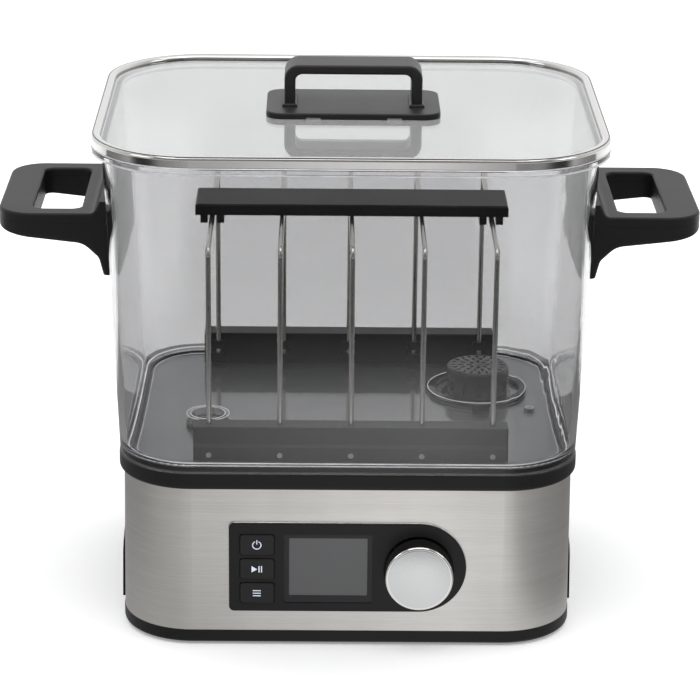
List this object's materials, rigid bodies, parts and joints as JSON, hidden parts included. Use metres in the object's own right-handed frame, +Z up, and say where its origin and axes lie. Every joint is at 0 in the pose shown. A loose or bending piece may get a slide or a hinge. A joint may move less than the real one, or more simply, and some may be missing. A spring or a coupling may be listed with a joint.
{
  "type": "sous vide water bath cooker",
  "caption": "Countertop water-bath cooker: brushed steel base with display and dial, clear tank, glass lid, side handles and bag rack.",
  "frame": {"origin": "centre of the footprint, on the surface the cooker stands on", "axes": "+Z up, -Y towards the front with the control panel, +X to the user's right"},
  "size_m": [0.386, 0.2345, 0.3076],
  "materials": {
    "black_plastic": "fine-grained black moulded plastic",
    "panel_black": "satin black fascia",
    "key_black": "satin black keys",
    "rubber_black": "soft black rubber",
    "brushed_steel": "upright brushed stainless steel",
    "deck_steel": "dark brushed plate under the clear floor",
    "polished_steel": "polished stainless steel",
    "rack_wire": "polished stainless wire",
    "heater_steel": "plain steel",
    "clear_plastic": "clear moulded plastic",
    "lid_glass": "clear tempered glass",
    "screen": "grey display behind a clear window",
    "circuit_board": "green circuit board",
    "part_grey": "grey moulded part",
    "silicone": "translucent silicone hose",
    "knob_chrome": "bright chromed barrel",
    "knob_face": "fine satin metal face"
  },
  "bodies": {
    "base": {"base_tray": "black_plastic", "button_switches": "part_grey", "collar_ring": "black_plastic", "control_board": "circuit_board", "control_panel": "panel_black", "deck_plate": "deck_steel", "display_module": "screen", "display_window": "screen", "feed_hose": "silicone", "flow_heater": "heater_steel", "knob_encoder": "part_grey", "left_handle_lower": "black_plastic", "left_handle_screws": "polished_steel", "left_handle_upper": "black_plastic", "motor_bracket": "black_plastic", "outlet_nozzle": "clear_plastic", "power_board": "circuit_board", "power_inlet": "black_plastic", "pump_housing": "black_plastic", "pump_motor": "heater_steel", "rear_cover": "black_plastic", "return_hose": "silicone", "right_handle_lower": "black_plastic", "right_handle_screws": "polished_steel", "right_handle_upper": "black_plastic", "rubber_feet": "rubber_black", "sensor_grommet": "rubber_black", "steel_shell": "brushed_steel", "sump_ring": "clear_plastic", "tank_shell": "clear_plastic", "temperature_sensor": "polished_steel"},
    "lid": {"lid_rim": "polished_steel", "lid_glass": "lid_glass", "lid_plate": "black_plastic", "lid_handle": "black_plastic", "lid_screws": "polished_steel", "lid_washers": "rubber_black"},
    "rack": {"front_rail": "black_plastic", "rear_rail": "black_plastic", "rail_rivets": "polished_steel", "top_bar": "black_plastic", "wire_divider_1": "rack_wire", "wire_divider_2": "rack_wire", "wire_divider_3": "rack_wire", "wire_divider_4": "rack_wire", "wire_divider_5": "rack_wire"},
    "strainer": {"strainer": "black_plastic"},
    "impeller": {"impeller": "black_plastic"},
    "knob": {"knob_body": "knob_chrome", "knob_cap": "knob_face"},
    "power_button": {"power_button": "key_black"},
    "play_button": {"play_button": "key_black"},
    "menu_button": {"menu_button": "key_black"}
  },
  "joints": [
    {"name": "lid_lift", "type": "slide", "parent": "base", "child": "lid", "axis": [0, 0, 1], "range_m": [0, 0.12]},
    {"name": "rack_lift", "type": "slide", "parent": "base", "child": "rack", "axis": [0, 0, 1], "range_m": [0, 0.035]},
    {"name": "strainer_lift", "type": "slide", "parent": "base", "child": "strainer", "axis": [0, 0, 1], "range_m": [0, 0.06]},
    {"name": "impeller_spin", "type": "hinge", "parent": "base", "child": "impeller", "pos_m": [0.0764, 0.0312, 0.08], "axis": [0, 0, 1], "continuous": true},
    {"name": "dial_turn", "type": "hinge", "parent": "base", "child": "knob", "pos_m": [0.0391, -0.1104, 0.0464], "axis": [0, -1, 0], "continuous": true},
    {"name": "power_button_press", "type": "slide", "parent": "base", "child": "power_button", "axis": [0, 1, 0], "range_m": [0, 0.001], "stiffness_N_per_m": 600},
    {"name": "play_button_press", "type": "slide", "parent": "base", "child": "play_button", "axis": [0, 1, 0], "range_m": [0, 0.001], "stiffness_N_per_m": 600},
    {"name": "menu_button_press", "type": "slide", "parent": "base", "child": "menu_button", "axis": [0, 1, 0], "range_m": [0, 0.001], "stiffness_N_per_m": 600}
  ]
}
